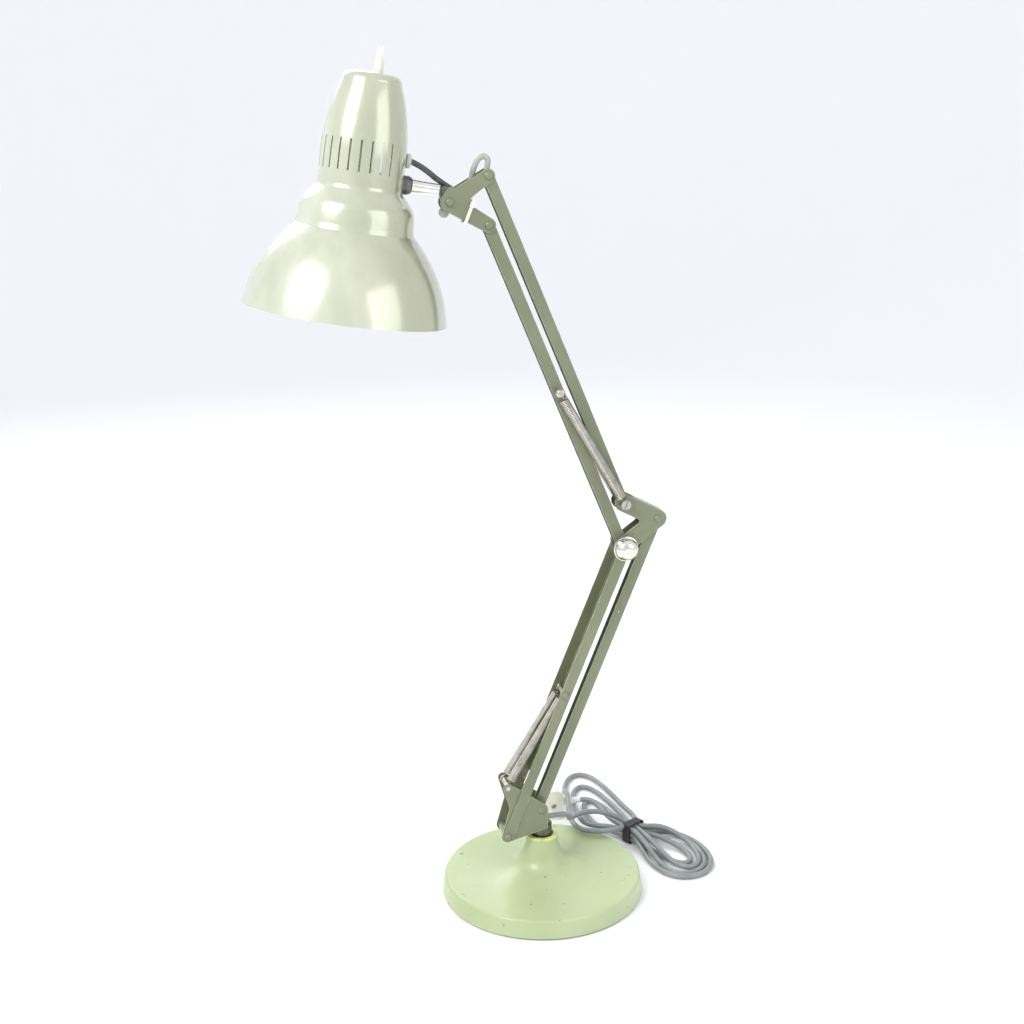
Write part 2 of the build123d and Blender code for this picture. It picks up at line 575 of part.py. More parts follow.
NUT_FACE = PLATE_OUT + 0.3
with BuildPart() as tilt_bolt:
    add(rod(H3, -PLATE_OUT, NUT_FACE + 10, PIN))
    add(dome(H3, -PLATE_OUT, -1, HEAD_RADIUS, HEAD_HEIGHT))
tilt_bolt.part.label = "tilt_bolt"
export_step(tilt_bolt.part, "parts/tilt_bolt.step")

with BuildPart() as wing_nut:
    add(rod(H3, NUT_FACE, NUT_FACE + 7, 6.0))
    with BuildSketch(Plane(origin=at(H3, NUT_FACE + 3.0), x_dir=(0.26, 0, 0.966), z_dir=(0, 1, 0))):
        for out in (-1, 1):
            with Locations((out * 11.5, 0)):
                Circle(5.5)
        Rectangle(18, 8)
    extrude(amount=2.4)
    fillet(wing_nut.edges().filter_by(Plane.XZ).group_by(Axis.Y)[-1], 0.8)
    add(rod(H3, 0, NUT_FACE + 12, PIN + RUN), mode=Mode.SUBTRACT)
wing_nut.part.label = "wing_nut"
export_step(wing_nut.part, "parts/wing_nut.step")

STRAP = Plane(origin=at(shifted(H3, 20.2, -10.1)), x_dir=(0.374, 0, 0.928), z_dir=(0.928, 0, -0.374))
with BuildPart() as cable_tie:
    with BuildSketch(STRAP.offset(-1.7)):
        with Locations((0.2, 0)):
            Rectangle(23.0 + 2 * TIE_WALL, 2 * (PLATE_OUT + TIE_WALL))
            Rectangle(23.0, 2 * PLATE_OUT, mode=Mode.SUBTRACT)
    extrude(amount=3.4)
    with BuildSketch(Plane(origin=STRAP.origin + STRAP.x_dir * 8 + Vector(0, -PLATE_OUT - TIE_WALL, 0),
                           x_dir=STRAP.x_dir, z_dir=(0, -1, 0))):
        RectangleRounded(5.5, 5.0, 1.0)
    extrude(amount=2.8)
cable_tie.part.label = "cable_tie"
export_step(cable_tie.part, "parts/cable_tie.step")

# ---- shade frame: r outwards and h up from the rim along the leaning axis ------------------------------
LEAN = radians(SHADE_TILT)
OUT_DIR = Vector(cos(LEAN), 0, -sin(LEAN))       # from the shade's axis towards the arm
UP_DIR = Vector(sin(LEAN), 0, cos(LEAN))
LUG_TIP = Vector(*at(shifted(H3, -5.4, 11.1)))
TUBE_HEIGHT = 136.0
TUBE_AXIS = Vector(*at(shifted(H3, -5.36, 11.8)))
RIM = TUBE_AXIS - OUT_DIR * TUBE_REACH - UP_DIR * TUBE_HEIGHT
SHADE_PLANE = Plane(origin=RIM, x_dir=OUT_DIR, z_dir=(0, -1, 0))
SHADE_AXIS = Axis(RIM, UP_DIR)


def shade_point(r, h, y=0.0):
    return RIM + OUT_DIR * r + UP_DIR * h + Vector(0, y, 0)


def shade_rod(r0, r1, h, radius):
    """Round bar across the shade, along its tube's axis."""
    return Solid.make_cylinder(radius, r1 - r0, Plane(origin=shade_point(r0, h), z_dir=OUT_DIR))


def shade_post(r, h0, h1, radius):
    """Round bar along the shade's axis."""
    return Solid.make_cylinder(radius, h1 - h0, Plane(origin=shade_point(r, h0), z_dir=UP_DIR))


TUBE_OUT, TUBE_IN = 80.8, 52.3
NECK = 4.5
with BuildPart() as tilt_lug:
    with BuildSketch(side(0.5)):
        add(hull(disc(H3, 8), (LUG_TIP.X + 0.6, LUG_TIP.Z - 0.3, 5.6)))
    extrude(amount=PLATE_IN + 0.3)
    add(shade_rod(TUBE_OUT - 12, TUBE_OUT + 0.05, TUBE_HEIGHT, 7.5), mode=Mode.SUBTRACT)
    add(shade_rod(TUBE_OUT - 18, TUBE_REACH - 1, TUBE_HEIGHT, 4.4))
    add(rod(H3, -PLATE_OUT, PLATE_OUT, PIN + RUN), mode=Mode.SUBTRACT)
tilt_lug.part.label = "tilt_lug"
export_step(tilt_lug.part, "parts/tilt_lug.step")

with BuildPart() as friction_washer:
    add(rod(H3, 0.6, PLATE_IN - 0.1, 5.0))
    add(rod(H3, 0, PLATE_OUT, PIN + RUN), mode=Mode.SUBTRACT)
friction_washer.part.label = "friction_washer"
export_step(friction_washer.part, "parts/friction_washer.step")

with BuildPart() as shade_tube:
    add(Solid.make_cone(7.2, 5.6, TUBE_OUT - TUBE_IN, Plane(origin=shade_point(TUBE_IN, TUBE_HEIGHT), z_dir=OUT_DIR)))
    add(shade_rod(37, TUBE_IN + 1, TUBE_HEIGHT, NECK))
    add(shade_rod(35, 37, TUBE_HEIGHT, NECK + 2.5))
    add(shade_rod(TUBE_OUT - 18.5, TUBE_OUT + 1, TUBE_HEIGHT, 4.4), mode=Mode.SUBTRACT)
shade_tube.part.label = "shade_tube"
export_step(shade_tube.part, "parts/shade_tube.step")


def scaled_bell(r):
    """Carries a bell radius to the chosen rim size, leaving the barrel's as it is."""
    return BARREL_RADIUS + (r - BARREL_RADIUS) * (SHADE_RADIUS - BARREL_RADIUS) / (106.0 - 43.3)


def shade_curve(wall):
    """Half section of the shade's surface from rim to top, moved inwards by wall."""
    rim = Vector(scaled_bell(106) - wall, 0)
    bell_mid = Vector(scaled_bell(90.5) - 0.92 * wall, 46.7 - 0.4 * wall)
    bell_top = Vector(scaled_bell(61) - 0.98 * wall, 86 - 1.2 * wall)
    collar = Vector(scaled_bell(60) - wall, 91 - 0.2 * wall)
    barrel_low = Vector(BARREL_RADIUS - wall, 130)
    barrel_high = Vector(BARREL_RADIUS + 0.2 - wall, 158)
    cap_mid = Vector(BARREL_RADIUS - 3.0 - wall, 195)
    cap_edge = Vector(BARREL_RADIUS - 12.8 - 0.95 * wall, 231 - 0.3 * wall)
    crown = Vector(BARREL_RADIUS - 21.3, 239 - wall)
    return [
        Edge.make_three_point_arc(rim, bell_mid, bell_top),
        Edge.make_line(bell_top, collar),
        Edge.make_spline([collar, Vector(scaled_bell(59) - wall, 101 - 0.1 * wall),
                          Vector(scaled_bell(56.6) - 0.9 * wall, 110.7 - 0.5 * wall),
                          Vector(scaled_bell(51.5) - 0.7 * wall, 118 - 0.7 * wall),
                          Vector(scaled_bell(47) - 0.8 * wall, 123 - 0.6 * wall), barrel_low],
                         tangents=[Vector(-0.1, 1), Vector(0, 1)]),
        Edge.make_line(barrel_low, barrel_high),
        Edge.make_three_point_arc(barrel_high, cap_mid, cap_edge),
        Edge.make_three_point_arc(cap_edge, Vector(BARREL_RADIUS - 15.1 - 0.8 * wall, 236 - 0.7 * wall), crown),
        Edge.make_line(crown, Vector(0, 240.5 - wall)),
    ]


def shade_section(wall=SHADE_WALL):
    """Closed section of the shade's wall, on one side of its axis."""
    outer, inner = shade_curve(0), shade_curve(wall)
    rim = Edge.make_line(inner[0] @ 0, outer[0] @ 0)
    top = Edge.make_line(outer[-1] @ 1, inner[-1] @ 1)
    return Face(Wire([rim] + outer + [top] + inner))


SWITCH_OFFSET = 5.4
STEM_RADIUS = 4.8
GROMMET_HEIGHT = 160.0
with BuildPart() as shade_shell:
    with BuildSketch(SHADE_PLANE):
        add(shade_section())
    revolve(axis=SHADE_AXIS)
    for i in range(SLOT_COUNT):
        turn = 180 + (i - (SLOT_COUNT - 1) / 2) * SLOT_PITCH
        facing = OUT_DIR * cos(radians(turn)) + Vector(0, sin(radians(turn)), 0)
        with Locations(Plane(origin=shade_point(0, SLOT_HEIGHT) + facing * BARREL_RADIUS, x_dir=facing,
                             z_dir=UP_DIR)):
            Box(12, 1.8, 30.5, mode=Mode.SUBTRACT)
    add(shade_rod(30, 60, TUBE_HEIGHT, NECK + 0.7), mode=Mode.SUBTRACT)
    add(shade_rod(30, 60, GROMMET_HEIGHT, 5.0), mode=Mode.SUBTRACT)
    add(shade_post(SWITCH_OFFSET, 230, 250, STEM_RADIUS), mode=Mode.SUBTRACT)
shade_shell.part.label = "shade_shell"
export_step(shade_shell.part, "parts/shade_shell.step")

with BuildPart() as tube_fitting:
    with BuildSketch(Plane(origin=shade_point(0, TUBE_HEIGHT), x_dir=OUT_DIR, z_dir=(0, -1, 0))):
        with BuildLine():
            Polyline((TUBE_IN - GAP, NECK + RUN), (40, NECK + RUN), (40, 9.6), (BARREL_RADIUS + 2, 9.6))
            ThreePointArc((BARREL_RADIUS + 2, 9.6), (BARREL_RADIUS + 5.5, 9.3), (BARREL_RADIUS + 8.8, 7.4))
            Line((BARREL_RADIUS + 8.8, 7.4), (TUBE_IN - GAP, NECK + RUN))
        make_face()
    revolve(axis=Axis(shade_point(0, TUBE_HEIGHT), OUT_DIR))
    with BuildSketch(SHADE_PLANE):
        add(shade_section(3 * SHADE_WALL))
    revolve(axis=SHADE_AXIS, mode=Mode.SUBTRACT)
    add(shade_post(0, TUBE_HEIGHT - 20, TUBE_HEIGHT + 20, BARREL_RADIUS - 0.3), mode=Mode.SUBTRACT)
tube_fitting.part.label = "tube_fitting"
export_step(tube_fitting.part, "parts/tube_fitting.step")

with BuildPart() as tube_washer:
    add(shade_rod(37.3, 40.9, TUBE_HEIGHT, 8.0))
    add(shade_rod(30, 45, TUBE_HEIGHT, NECK + RUN), mode=Mode.SUBTRACT)
tube_washer.part.label = "tube_washer"
export_step(tube_washer.part, "parts/tube_washer.step")

with BuildPart() as lamp_holder:
    add(shade_post(0, 172, 215, 15.5))
    add(shade_post(0, 152, 172, 17.5))
    add(shade_post(0, 215, 222, 12.0))
    add(shade_post(0, 151, 178, 13.9), mode=Mode.SUBTRACT)
lamp_holder.part.label = "lamp_holder"
export_step(lamp_holder.part, "parts/lamp_holder.step")

with BuildPart() as bulb:
    with BuildSketch(SHADE_PLANE):
        with BuildLine():
            Polyline((4, 46.2), (0, 46.2), (0, 45), (4, 45))
            ThreePointArc((4, 46.2), (21.2, 55), (29, 75))
            ThreePointArc((29, 75), (26.4, 101), (12.2, 151))
            Line((12.2, 151), (13.4, 151.4))
            ThreePointArc((13.4, 151.4), (27.5, 101.5), (30.2, 75))
            ThreePointArc((30.2, 75), (22.1, 54.1), (4, 45))
        make_face()
    revolve(axis=SHADE_AXIS)
bulb.part.label = "bulb"
export_step(bulb.part, "parts/bulb.step")

with BuildPart() as bulb_cap:
    add(shade_post(0, 152, 174, 13.4))
    add(shade_post(0, 174, 176.5, 6.0))
    add(shade_post(0, 151, 170, 12.0), mode=Mode.SUBTRACT)
bulb_cap.part.label = "bulb_cap"
export_step(bulb_cap.part, "parts/bulb_cap.step")

with BuildPart() as switch_body:
    add(shade_post(SWITCH_OFFSET, 230, 252, STEM_RADIUS))
    add(shade_post(SWITCH_OFFSET, 222, 236.5, 11.0))
    add(shade_post(SWITCH_OFFSET, 244, 252.5, 2.55), mode=Mode.SUBTRACT)
switch_body.part.label = "switch_body"
export_step(switch_body.part, "parts/switch_body.step")

with BuildPart() as switch_knob:
    add(shade_post(SWITCH_OFFSET, 244.3, 254, 2.5))
    add(shade_post(SWITCH_OFFSET, 252.4, 256, 3.6))
    key = Plane(origin=shade_point(SWITCH_OFFSET, 256), x_dir=OUT_DIR, z_dir=UP_DIR)
    with BuildSketch(key):
        RectangleRounded(7.0, 2.6, 1.0)
    extrude(amount=9.0)
    fillet(switch_knob.edges().group_by(Axis(RIM, UP_DIR))[-1], 0.9)
switch_knob.part.label = "switch_knob"
export_step(switch_knob.part, "parts/switch_knob.step")

with BuildPart() as grommet:
    with BuildSketch(Plane(origin=shade_point(0, GROMMET_HEIGHT), x_dir=OUT_DIR, z_dir=(0, -1, 0))):
        with BuildLine():
            Polyline((BARREL_RADIUS + 5.4, HEAD_CORD_RADIUS), (BARREL_RADIUS - 4.6, HEAD_CORD_RADIUS),
                     (BARREL_RADIUS - 4.6, 7.0), (BARREL_RADIUS - 2.0, 7.0), (BARREL_RADIUS - 2.0, 5.0),
                     (BARREL_RADIUS + 0.4, 5.0), (BARREL_RADIUS + 0.4, 7.5), (BARREL_RADIUS + 2.4, 7.5))
            ThreePointArc((BARREL_RADIUS + 2.4, 7.5), (BARREL_RADIUS + 4.6, 6.4), (BARREL_RADIUS + 5.4, 4.4))
            Line((BARREL_RADIUS + 5.4, 4.4), (BARREL_RADIUS + 5.4, HEAD_CORD_RADIUS))
        make_face()
    revolve(axis=Axis(shade_point(0, GROMMET_HEIGHT), OUT_DIR))
grommet.part.label = "grommet"
export_step(grommet.part, "parts/grommet.step")

# ---- flex at the head ---------------------------------------------------------------------------------
GROMMET_END = BARREL_RADIUS + 5.4
LEAD_JOIN = at(shifted(H3, -13.2, 24.6), 2.0)
HEAD_END = at(shifted(H3, 19.0, 9.6), 3.0)
SHADE_LEAD = [tuple(shade_point(GROMMET_END - 1.0, GROMMET_HEIGHT)), at(shifted(H3, -26.5, 36.6), 0.6), LEAD_JOIN]
TILT_LEAD = [LEAD_JOIN, at(shifted(H3, -2.4, 16.8), 3.9), at(shifted(H3, 8.0, 10.2), 3.9), HEAD_END]
LOOP = [HEAD_END, at(shifted(H3, 24.0, 15.0), 1.5), at(shifted(H3, 25.5, 31.0)), at(shifted(H3, 31.0, 42.0)),
        at(shifted(H3, 37.0, 46.0)), at(shifted(H3, 42.0, 42.5)), at(shifted(H2, 0.2, 5.6))]
with BuildPart() as head_lead_shade:
    with BuildLine() as head_lead_shade_line:
        FilletPolyline(*SHADE_LEAD, radius=corner_radii(SHADE_LEAD))
    with BuildSketch(Plane(origin=head_lead_shade_line.line @ 0, z_dir=head_lead_shade_line.line % 0)):
        Circle(HEAD_CORD_RADIUS)
    sweep()
    add(grommet.part, mode=Mode.SUBTRACT)
head_lead_shade.part.label = "head_lead_shade"
export_step(head_lead_shade.part, "parts/head_lead_shade.step")
report_tube("head_lead_shade", head_lead_shade.part, head_lead_shade_line.line, HEAD_CORD_RADIUS, SHADE_LEAD)
with BuildPart() as head_lead_tilt:
    with BuildLine() as head_lead_tilt_line:
        FilletPolyline(*TILT_LEAD, radius=corner_radii(TILT_LEAD))
    with BuildSketch(Plane(origin=head_lead_tilt_line.line @ 0, z_dir=head_lead_tilt_line.line % 0)):
        Circle(HEAD_CORD_RADIUS)
    sweep()
    add(head_lead_shade.part, mode=Mode.SUBTRACT)
head_lead_tilt.part.label = "head_lead_tilt"
export_step(head_lead_tilt.part, "parts/head_lead_tilt.step")
report_tube("head_lead_tilt", head_lead_tilt.part, head_lead_tilt_line.line, HEAD_CORD_RADIUS, TILT_LEAD)
with BuildPart() as head_cord_loop:
    with BuildLine() as head_cord_loop_line:
        FilletPolyline(*LOOP, radius=corner_radii(LOOP))
    with BuildSketch(Plane(origin=head_cord_loop_line.line @ 0, z_dir=head_cord_loop_line.line % 0)):
        Circle(HEAD_CORD_RADIUS)
    sweep()
    add(head_lead_tilt.part, mode=Mode.SUBTRACT)
head_cord_loop.part.label = "head_cord_loop"
export_step(head_cord_loop.part, "parts/head_cord_loop.step")
report_tube("head_cord_loop", head_cord_loop.part, head_cord_loop_line.line, HEAD_CORD_RADIUS, LOOP)

INNER_LEAD = [tuple(shade_point(BARREL_RADIUS - 4.8, GROMMET_HEIGHT)), tuple(shade_point(28, GROMMET_HEIGHT + 3)),
              tuple(shade_point(23, 190)), tuple(shade_point(24, 215)), tuple(shade_point(17.8, 230))]
with BuildPart() as cord_in_shade:
    with BuildLine() as cord_in_shade_line:
        FilletPolyline(*INNER_LEAD, radius=corner_radii(INNER_LEAD))
    with BuildSketch(Plane(origin=cord_in_shade_line.line @ 0, z_dir=cord_in_shade_line.line % 0)):
        Circle(HEAD_CORD_RADIUS)
    sweep()
    add(switch_body.part, mode=Mode.SUBTRACT)
    add(grommet.part, mode=Mode.SUBTRACT)
cord_in_shade.part.label = "cord_in_shade"
export_step(cord_in_shade.part, "parts/cord_in_shade.step")
report_tube("cord_in_shade", cord_in_shade.part, cord_in_shade_line.line, HEAD_CORD_RADIUS, INNER_LEAD)

# ---- mains lead, hank, tie and plug ---------------------------------------------------------------------
MAINS_ROUTE = [(4.2, 0, CLIP_AXIS), (26, 4, CLIP_AXIS - 1), (40, 26, 74), (46, 54, 52), (56, 82, 36), (76, 98, 33)]
LEAN_SHIFT = (BASE_RADIUS - 117.5) * 0.75
TIE = (137 + LEAN_SHIFT, 84 + LEAN_SHIFT)
BUNDLE = Vector(0.506, -0.863)                   # direction of the bundle through its tie, in plan
ACROSS = Vector(0.863, 0.506)
FAN = [(144.3, 96.4), (152, 120), (149, 160), (142, 205), (136, 242), (127, 267), (111, 273), (94, 260),
       (84, 235), (75, 199), (73, 170), (68, 150), (61, 125), (57, 100), (57, 82), (66, 66), (86, 58), (106, 62),
       (122.7, 83.7)]
LOBE = [(150.9, 84.1), (172, 92), (192, 84), (207, 66), (214, 37), (214, 14), (205, -8), (191, -20), (172, -25),
        (159, -17), (148, 6), (141, 36), (133, 60), (130.2, 71.9)]
FAN_TOP, LOBE_TOP, NECK_TOP = 34.0, 20.0, 26.0


def moved_plan(points):
    return [(x + LEAN_SHIFT, y + LEAN_SHIFT) for x, y in points]


PLUG = (47.5, 157.0)                             # middle of the plug's face, in plan
with BuildPart() as plug_body:
    with BuildSketch(Plane(origin=(PLUG[0], PLUG[1], 0), x_dir=(1, 0, 0), z_dir=(0, 1, 0))):
        with Locations((0, -20)):
            RectangleRounded(36, 40, 9)
    extrude(amount=24, taper=6)
    with BuildSketch(Plane(origin=(PLUG[0] + 5.5, PLUG[1], 19), x_dir=(1, 0, 0), z_dir=(0, 1, 0))):
        Circle(3.6)
    extrude(amount=5, mode=Mode.SUBTRACT)
plug_body.part.label = "plug_body"
export_step(plug_body.part, "parts/plug_body.step")

SLEEVE = (PLUG[0] + 16.5, PLUG[1] + 12, 19)      # where the lead's tapered sleeve leaves the plug
with BuildPart() as plug_sleeve:
    add(Solid.make_cone(5.6, CORD_RADIUS + 0.6, 26, Plane(origin=SLEEVE, z_dir=(1, 0, 0))))
    add(plug_body.part, mode=Mode.SUBTRACT)
plug_sleeve.part.label = "plug_sleeve"
export_step(plug_sleeve.part, "parts/plug_sleeve.step")

with BuildPart() as cord_hank:
    with BuildSketch(Plane.XY.offset(0.3)):
        with BuildLine():
            Polyline(*moved_plan(FAN), close=True)
        make_face()
    extrude(amount=FAN_TOP - 0.3)
    with BuildSketch(Plane.XY.offset(0.3)):
        with BuildLine():
            Polyline(*moved_plan(LOBE), close=True)
        make_face()
    extrude(amount=LOBE_TOP - 0.3)
    with BuildSketch(Plane(origin=(*TIE, TIE_WALL), x_dir=(BUNDLE.X, BUNDLE.Y, 0), z_dir=(0, 0, 1))):
        Rectangle(30, 24.4)
    extrude(amount=NECK_TOP - 2 * TIE_WALL)
    with BuildSketch():
        Circle(BASE_RADIUS + 1.2)
    extrude(amount=BASE_EDGE_HEIGHT + 4.4, mode=Mode.SUBTRACT)
    add(plug_sleeve.part, mode=Mode.SUBTRACT)
cord_hank.part.label = "cord_hank"
export_step(cord_hank.part, "parts/cord_hank.step")

with BuildPart() as cord_tie:
    with BuildSketch(Plane(origin=(TIE[0] - 5.5 * BUNDLE.X, TIE[1] - 5.5 * BUNDLE.Y, NECK_TOP / 2),
                           x_dir=(ACROSS.X, ACROSS.Y, 0), z_dir=(BUNDLE.X, BUNDLE.Y, 0))):
        RectangleRounded(24.4 + 2 * TIE_WALL, NECK_TOP, 4)
        Rectangle(24.4, NECK_TOP - 2 * TIE_WALL, mode=Mode.SUBTRACT)
    extrude(amount=11)
cord_tie.part.label = "cord_tie"
export_step(cord_tie.part, "parts/cord_tie.step")

with BuildPart() as mains_lead:
    with BuildLine() as mains_lead_line:
        FilletPolyline(*MAINS_ROUTE, radius=corner_radii(MAINS_ROUTE))
    with BuildSketch(Plane(origin=mains_lead_line.line @ 0, z_dir=mains_lead_line.line % 0)):
        Circle(CORD_RADIUS)
    sweep()
mains_lead.part.label = "mains_lead"
export_step(mains_lead.part, "parts/mains_lead.step")
report_tube("mains_lead", mains_lead.part, mains_lead_line.line, CORD_RADIUS, MAINS_ROUTE)

with BuildPart() as plug_pins:
    for dx, dz, turn in ((-7, 25, 30), (7, 25, -30), (0, 10, 90)):
        flat = radians(turn + 90)
        with BuildSketch(Plane(origin=(PLUG[0] + dx, PLUG[1] + 24, dz), x_dir=(cos(flat), 0, sin(flat)),
                               z_dir=(0, 1, 0))):
            RectangleRounded(6.3, 1.6, 0.5)
        extrude(amount=17)
plug_pins.part.label = "plug_pins"
export_step(plug_pins.part, "parts/plug_pins.step")
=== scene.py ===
import json
from math import cos, pi, radians, sin

import bpy
from mathutils import Matrix, Vector


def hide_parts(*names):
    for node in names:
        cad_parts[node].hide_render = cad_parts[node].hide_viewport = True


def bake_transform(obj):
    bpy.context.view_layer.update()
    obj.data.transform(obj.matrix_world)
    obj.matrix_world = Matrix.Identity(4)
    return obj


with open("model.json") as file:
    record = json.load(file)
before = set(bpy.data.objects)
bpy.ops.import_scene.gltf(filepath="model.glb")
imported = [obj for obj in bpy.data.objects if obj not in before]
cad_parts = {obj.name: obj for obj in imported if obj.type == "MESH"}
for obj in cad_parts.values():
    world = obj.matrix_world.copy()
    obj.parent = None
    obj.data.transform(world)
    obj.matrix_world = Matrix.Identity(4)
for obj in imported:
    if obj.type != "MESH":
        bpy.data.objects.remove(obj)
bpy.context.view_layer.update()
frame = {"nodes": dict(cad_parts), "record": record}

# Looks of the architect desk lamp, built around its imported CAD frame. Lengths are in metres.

NODES = frame["nodes"]
MAINS_RADIUS = 0.0032
HEAD_LEAD_RADIUS = 0.003
SHADE_RIM = Vector((-0.205690, 0.0, 0.687887))   # middle of the shade's rim
SHADE_LEAN = radians(9.0)


# ---- materials ----------------------------------------------------------------------------------
class Shader:
    """A material and short calls that add its nodes."""

    def __init__(self, name):
        self.material = bpy.data.materials.new(name)
        self.material.use_nodes = True
        self.tree = self.material.node_tree
        self.bsdf = self.tree.nodes["Principled BSDF"]
        self.place = self.tree.nodes.new("ShaderNodeTexCoord").outputs["Object"]

    def link(self, source, target):
        self.tree.links.new(source, target)

    def put(self, target, value):
        if isinstance(value, bpy.types.NodeSocket):
            self.link(value, target)
        else:
            target.default_value = (*value, 1) if isinstance(value, tuple) else value

    def noise(self, scale, detail=4.0, stretch=(1, 1, 1)):
        spread = self.tree.nodes.new("ShaderNodeMapping")
        spread.inputs["Scale"].default_value = stretch
        self.link(self.place, spread.inputs["Vector"])
        node = self.tree.nodes.new("ShaderNodeTexNoise")
        node.inputs["Scale"].default_value = scale
        node.inputs["Detail"].default_value = detail
        self.link(spread.outputs["Vector"], node.inputs["Vector"])
        return node.outputs["Fac"]

    def steps(self, value, low, high, start=0.0, end=1.0):
        node = self.tree.nodes.new("ShaderNodeMapRange")
        node.inputs["From Min"].default_value = low
        node.inputs["From Max"].default_value = high
        node.inputs["To Min"].default_value = start
        node.inputs["To Max"].default_value = end
        self.link(value, node.inputs["Value"])
        return node.outputs["Result"]

    def math(self, operation, a, b):
        node = self.tree.nodes.new("ShaderNodeMath")
        node.operation = operation
        self.put(node.inputs[0], a)
        self.put(node.inputs[1], b)
        return node.outputs[0]

    def vector(self, operation, a, b, result="Vector"):
        node = self.tree.nodes.new("ShaderNodeVectorMath")
        node.operation = operation
        self.link(a, node.inputs[0])
        if isinstance(b, bpy.types.NodeSocket):
            self.link(b, node.inputs[1])
        else:
            node.inputs[1].default_value = b
        return node.outputs[result]

    def mix(self, amount, a, b):
        node = self.tree.nodes.new("ShaderNodeMix")
        node.data_type = "RGBA"
        self.put(node.inputs["Factor"], amount)
        self.put(node.inputs["A"], a)
        self.put(node.inputs["B"], b)
        return node.outputs["Result"]

    def worn_edges(self, width):
        """1 on edges sharper than the given radius, 0 on flats."""
        bevel = self.tree.nodes.new("ShaderNodeBevel")
        bevel.samples = 4
        bevel.inputs["Radius"].default_value = width
        shape = self.tree.nodes.new("ShaderNodeNewGeometry")
        kept = self.vector("DOT_PRODUCT", bevel.outputs["Normal"], shape.outputs["Normal"], "Value")
        return self.steps(kept, 0.995, 0.86)

    def bump(self, height, distance, strength):
        node = self.tree.nodes.new("ShaderNodeBump")
        node.inputs["Strength"].default_value = strength
        node.inputs["Distance"].default_value = distance
        self.link(height, node.inputs["Height"])
        self.link(node.outputs["Normal"], self.bsdf.inputs["Normal"])

    def axes(self):
        node = self.tree.nodes.new("ShaderNodeSeparateXYZ")
        self.link(self.place, node.inputs[0])
        return node.outputs

    def finish(self, colour, roughness, metallic=0.0, coat=0.0, coat_roughness=0.1):
        self.put(self.bsdf.inputs["Base Color"], colour)
        self.put(self.bsdf.inputs["Roughness"], roughness)
        self.put(self.bsdf.inputs["Metallic"], metallic)
        self.bsdf.inputs["Coat Weight"].default_value = coat
        self.bsdf.inputs["Coat Roughness"].default_value = coat_roughness
        return self.material


def enamel(name, light, dark, worn, chip_from, edge, roughness, coat, metallic):
    """Stoved paint with cloudy colour, small chips and edges rubbed lighter."""
    s = Shader(name)
    cloud = s.steps(s.noise(9.0), 0.35, 0.68)
    fine = s.noise(90.0, 6.0)
    colour = s.mix(cloud, dark, light)
    rubbed = s.math("MULTIPLY", s.worn_edges(edge), s.steps(fine, 0.36, 0.6))
    chips = s.steps(s.noise(140.0, 8.0), chip_from, chip_from + 0.05)
    colour = s.mix(s.math("MAXIMUM", rubbed, s.math("MULTIPLY", chips, 0.8)), colour, worn)
    s.bump(s.noise(260.0, 2.0), 0.0002, 0.25)
    rough = s.steps(fine, 0.3, 0.75, roughness - 0.06, roughness + 0.1)
    return s.finish(colour, rough, metallic, coat)


def metal(name, light, dark, roughness):
    s = Shader(name)
    fine = s.noise(120.0, 5.0)
    s.bump(fine, 0.0001, 0.12)
    return s.finish(s.mix(s.steps(fine, 0.3, 0.7), dark, light),
                    s.steps(fine, 0.3, 0.7, roughness - 0.05, roughness + 0.09), 1.0)


def moulded(name, light, dark, roughness, grain=700.0, coat=0.0):
    s = Shader(name)
    soil = s.noise(38.0, 6.0)
    s.bump(s.noise(grain, 3.0), 0.00015, 0.3)
    return s.finish(s.mix(s.steps(soil, 0.38, 0.7), light, dark),
                    s.steps(soil, 0.3, 0.7, roughness - 0.05, roughness + 0.08), 0.0, coat)


def base_paint():
    """Sage enamel with a few chips, rubbed yellow round the top of the boss."""
    s = Shader("base_enamel")
    cloud = s.steps(s.noise(7.0), 0.34, 0.66)
    fine = s.noise(120.0, 7.0)
    colour = s.mix(cloud, (0.36, 0.44, 0.225), (0.46, 0.53, 0.3))
    rim = s.math("MULTIPLY", s.steps(s.axes()["Z"], 0.067, 0.0705), s.steps(fine, 0.36, 0.56))
    colour = s.mix(rim, colour, (0.66, 0.72, 0.16))
    chips = s.steps(s.noise(115.0, 8.0), 0.69, 0.72)
    colour = s.mix(chips, colour, (0.17, 0.21, 0.13))
    rubbed = s.math("MULTIPLY", s.worn_edges(0.0025), s.steps(fine, 0.42, 0.62))
    colour = s.mix(s.math("MULTIPLY", rubbed, 0.6), colour, (0.66, 0.71, 0.5))
    s.bump(s.math("SUBTRACT", s.noise(210.0, 2.0), chips), 0.0003, 0.3)
    return s.finish(colour, s.steps(fine, 0.3, 0.7, 0.3, 0.46), 0.0, 0.25, 0.2)


